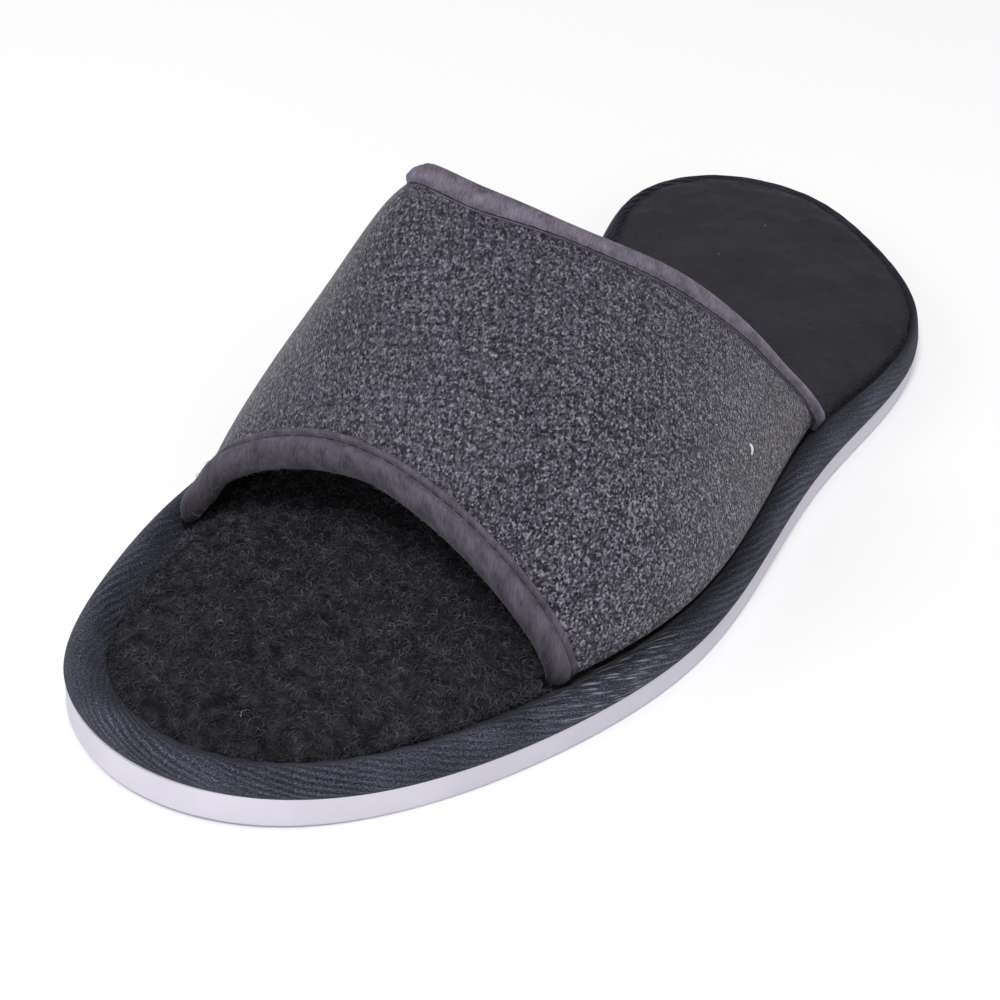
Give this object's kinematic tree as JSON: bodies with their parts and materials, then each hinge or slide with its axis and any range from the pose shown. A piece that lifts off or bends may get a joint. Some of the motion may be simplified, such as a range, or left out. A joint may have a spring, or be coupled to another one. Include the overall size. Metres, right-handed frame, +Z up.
{
  "type": "open-toe slipper",
  "caption": "Open-toe house slipper with a wide arched knit strap, folded edge tapes, a plush insole and a flat foam sole; a foot slides in from the heel side.",
  "frame": {"origin": "middle of the slipper's box on the floor that its sole stands on", "axes": "+Z up, -Y towards the toe, +X towards the little-toe side of this left slipper"},
  "size_m": [0.1158, 0.2806, 0.0938],
  "materials": {
    "pale_foam": "closed-cell foam sheet, matt, pale lavender",
    "black_plush": "short curly plush, black, with no gloss",
    "navy_twill": "woven twill tape, dark navy grey, with a faint sheen",
    "marled_knit": "fine marled knit, violet grey with pale flecks",
    "grey_tape": "smooth brushed tape, violet grey"
  },
  "bodies": {
    "root": {"outsole": "pale_foam", "insole": "black_plush", "sole_binding": "navy_twill", "upper": "marled_knit", "toe_binding": "grey_tape", "collar_binding": "grey_tape"}
  },
  "joints": []
}
